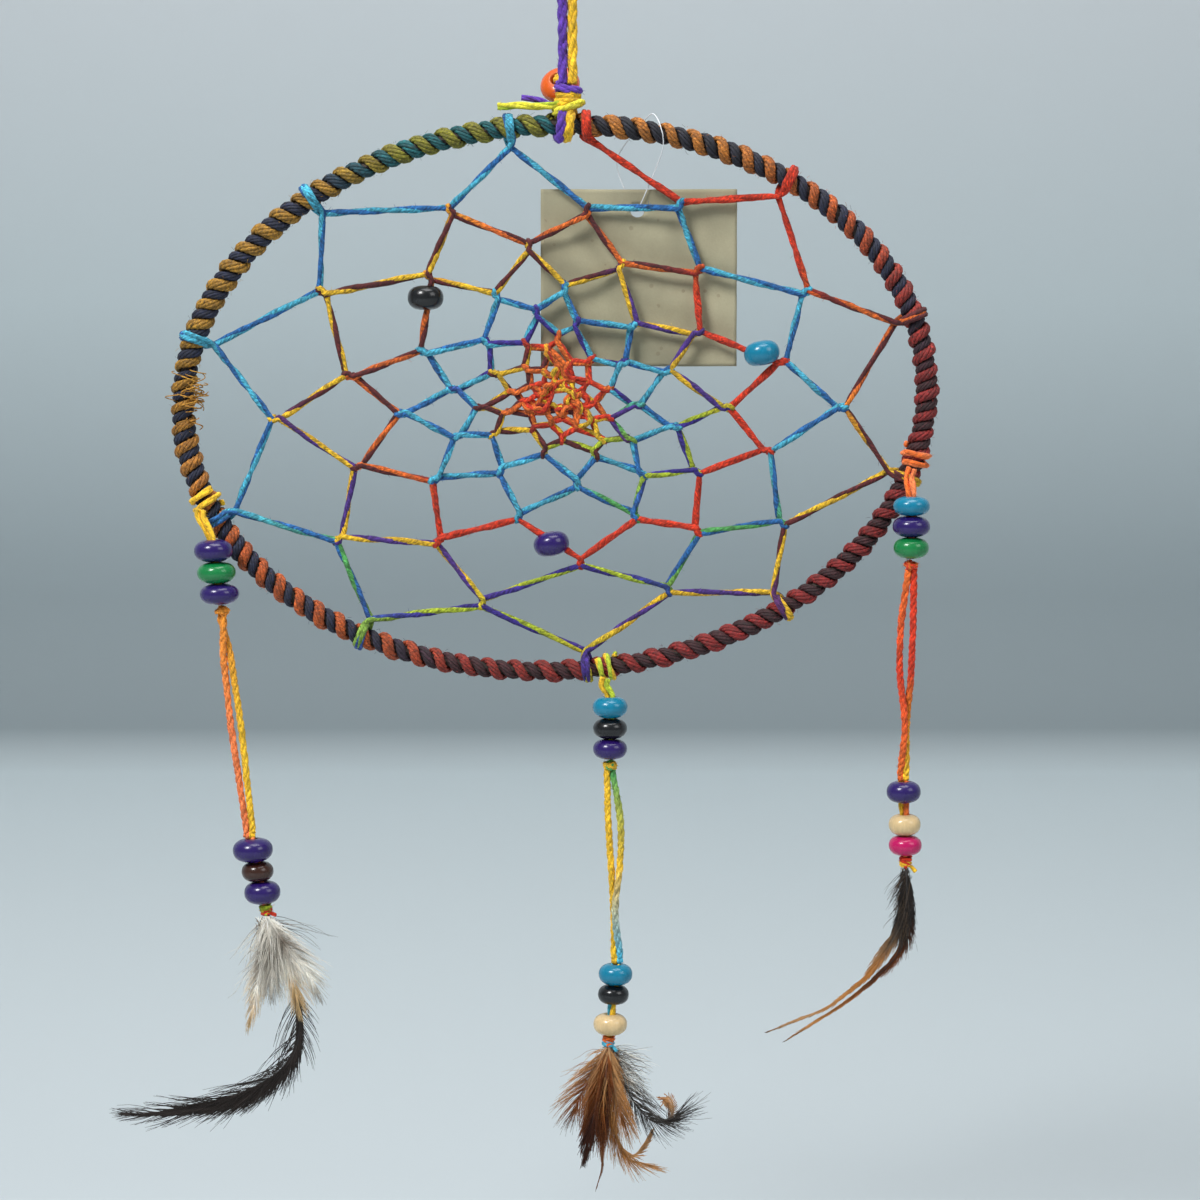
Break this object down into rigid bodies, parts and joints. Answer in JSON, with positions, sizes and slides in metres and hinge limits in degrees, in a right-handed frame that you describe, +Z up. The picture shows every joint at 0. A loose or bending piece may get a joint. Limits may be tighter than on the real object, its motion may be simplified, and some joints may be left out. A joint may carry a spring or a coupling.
{
  "type": "mandala dreamcatcher",
  "caption": "Hanging dreamcatcher: a cord-wrapped oval hoop with a spiral yarn web strung with beads, and beaded cords that end in feathers.",
  "frame": {"origin": "inside top of the hanging loop, where a hook carries it", "axes": "+Z up, +X to the right seen from the front, -Y to the front"},
  "size_m": [0.2345, 0.0279, 0.3653],
  "materials": {
    "hoop_wire": "drawn steel wire, hidden by the winding",
    "wrap_dark": "matt cotton cord, navy to maroon",
    "wrap_bright": "matt cotton cord, gold to orange to red-brown",
    "web_yarn": "soft space-dyed yarn, rainbow colours along its length",
    "cord_purple": "soft space-dyed yarn, purple with yellow",
    "cord_gold": "soft yarn, golden yellow",
    "cord_orange": "soft yarn, orange",
    "cord_red": "soft yarn, red",
    "cord_blue": "soft space-dyed yarn, green to blue",
    "cord_green": "soft yarn, green",
    "cord_yellow_green": "soft yarn, yellow-green",
    "bead_purple": "turned wood, glossy indigo lacquer",
    "bead_green": "turned wood, glossy green lacquer",
    "bead_turquoise": "turned wood, glossy turquoise lacquer",
    "bead_black": "turned wood, glossy black lacquer",
    "bead_brown": "turned wood, glossy dark brown lacquer",
    "bead_cream": "turned wood, clear lacquer",
    "bead_pink": "turned wood, glossy pink lacquer",
    "bead_orange": "turned wood, glossy orange lacquer",
    "feather_pale": "soft grey-white down",
    "feather_black": "sleek black vane",
    "feather_rust": "soft rust-brown vane",
    "feather_grey": "soft grey down",
    "feather_gold": "golden-brown vane",
    "feather_brown": "dark brown vane",
    "card_paper": "matt flecked paper",
    "card_line": "clear nylon thread"
  },
  "bodies": {
    "hanger": {"hanging_loop": "cord_purple"},
    "hanger_knot": {"hanger_hitch": "cord_gold", "hanger_bead": "bead_orange", "hanger_tail": "cord_yellow_green"},
    "hoop": {"hoop_core": "hoop_wire", "hoop_wrap_dark": "wrap_dark", "hoop_wrap_bright": "wrap_bright", "web_thread": "web_yarn", "web_bead_black": "bead_black", "web_bead_turquoise": "bead_turquoise", "web_bead_purple": "bead_purple", "left_hitch": "cord_gold", "middle_hitch": "cord_yellow_green", "right_hitch": "cord_orange"},
    "card": {"paper_card": "card_paper", "card_thread": "card_line"},
    "left_top": {"left_top_cord": "cord_gold", "left_upper_bead_1": "bead_purple", "left_upper_bead_2": "bead_green", "left_upper_bead_3": "bead_purple", "left_stop_knot": "cord_gold"},
    "left_cord": {"left_strand_a": "cord_orange", "left_strand_b": "cord_gold"},
    "left_end": {"left_lower_cord": "cord_orange", "left_lower_bead_1": "bead_purple", "left_lower_bead_2": "bead_brown", "left_lower_bead_3": "bead_purple", "left_feather_tie": "cord_green", "left_feather_plume": "feather_pale", "left_feather_black": "feather_black"},
    "middle_top": {"middle_top_cord": "cord_yellow_green", "middle_upper_bead_1": "bead_turquoise", "middle_upper_bead_2": "bead_black", "middle_upper_bead_3": "bead_purple", "middle_stop_knot": "cord_yellow_green"},
    "middle_cord": {"middle_strand_a": "cord_gold", "middle_strand_b": "cord_blue"},
    "middle_end": {"middle_lower_cord": "cord_gold", "middle_lower_bead_1": "bead_turquoise", "middle_lower_bead_2": "bead_black", "middle_lower_bead_3": "bead_cream", "middle_feather_tie": "cord_orange", "middle_feather_rust": "feather_rust", "middle_feather_grey": "feather_grey", "middle_feather_gold": "feather_gold", "middle_feather_thin": "feather_black"},
    "right_top": {"right_top_cord": "cord_orange", "right_upper_bead_1": "bead_turquoise", "right_upper_bead_2": "bead_purple", "right_upper_bead_3": "bead_green", "right_stop_knot": "cord_orange"},
    "right_cord": {"right_strand_a": "cord_red", "right_strand_b": "cord_gold"},
    "right_end": {"right_lower_cord": "cord_red", "right_lower_bead_1": "bead_purple", "right_lower_bead_2": "bead_cream", "right_lower_bead_3": "bead_pink", "right_feather_tie": "cord_red", "right_feather_a": "feather_brown", "right_feather_b": "feather_gold"}
  },
  "joints": [
    {"name": "cord_turn", "type": "hinge", "parent": "hanger", "child": "hanger_knot", "pos_m": [0, 0, -0.0447], "axis": [0, 0, 1], "range_deg": [-170, 170]},
    {"name": "hoop_swing", "type": "hinge", "parent": "hanger_knot", "child": "hoop", "pos_m": [0, 0, -0.056], "axis": [1, 0, 0], "range_deg": [-35, 35]},
    {"name": "card_swing", "type": "hinge", "parent": "hoop", "child": "card", "pos_m": [0.02115, 0, -0.05761], "axis": [1, 0, 0], "range_deg": [0, 50]},
    {"name": "left_sway", "type": "hinge", "parent": "hoop", "child": "left_top", "pos_m": [-0.10392, -0.0069, -0.16596], "axis": [-1, 0, 0], "range_deg": [-4, 60]},
    {"name": "left_swing", "type": "hinge", "parent": "left_top", "child": "left_cord", "pos_m": [-0.09789, -0.0082, -0.19328], "axis": [0, 1, 0], "range_deg": [-12, 12]},
    {"name": "left_flick", "type": "hinge", "parent": "left_cord", "child": "left_end", "pos_m": [-0.09072, -0.0082, -0.25726], "axis": [1, 0, 0], "range_deg": [-40, 40]},
    {"name": "middle_sway", "type": "hinge", "parent": "hoop", "child": "middle_top", "pos_m": [0.0103, -0.0054, -0.21445], "axis": [-1, 0, 0], "range_deg": [-35, 60]},
    {"name": "middle_swing", "type": "hinge", "parent": "middle_top", "child": "middle_cord", "pos_m": [0.012, -0.0054, -0.23785], "axis": [0, 1, 0], "range_deg": [-12, 12]},
    {"name": "middle_flick", "type": "hinge", "parent": "middle_cord", "child": "middle_end", "pos_m": [0.014, -0.0054, -0.29395], "axis": [1, 0, 0], "range_deg": [-40, 40]},
    {"name": "right_sway", "type": "hinge", "parent": "hoop", "child": "right_top", "pos_m": [0.0965, -0.007, -0.15515], "axis": [-1, 0, 0], "range_deg": [-1, 60]},
    {"name": "right_swing", "type": "hinge", "parent": "right_top", "child": "right_cord", "pos_m": [0.097, -0.0092, -0.18025], "axis": [0, 1, 0], "range_deg": [-12, 12]},
    {"name": "right_flick", "type": "hinge", "parent": "right_cord", "child": "right_end", "pos_m": [0.0953, -0.0092, -0.24055], "axis": [1, 0, 0], "range_deg": [-40, 40]}
  ]
}
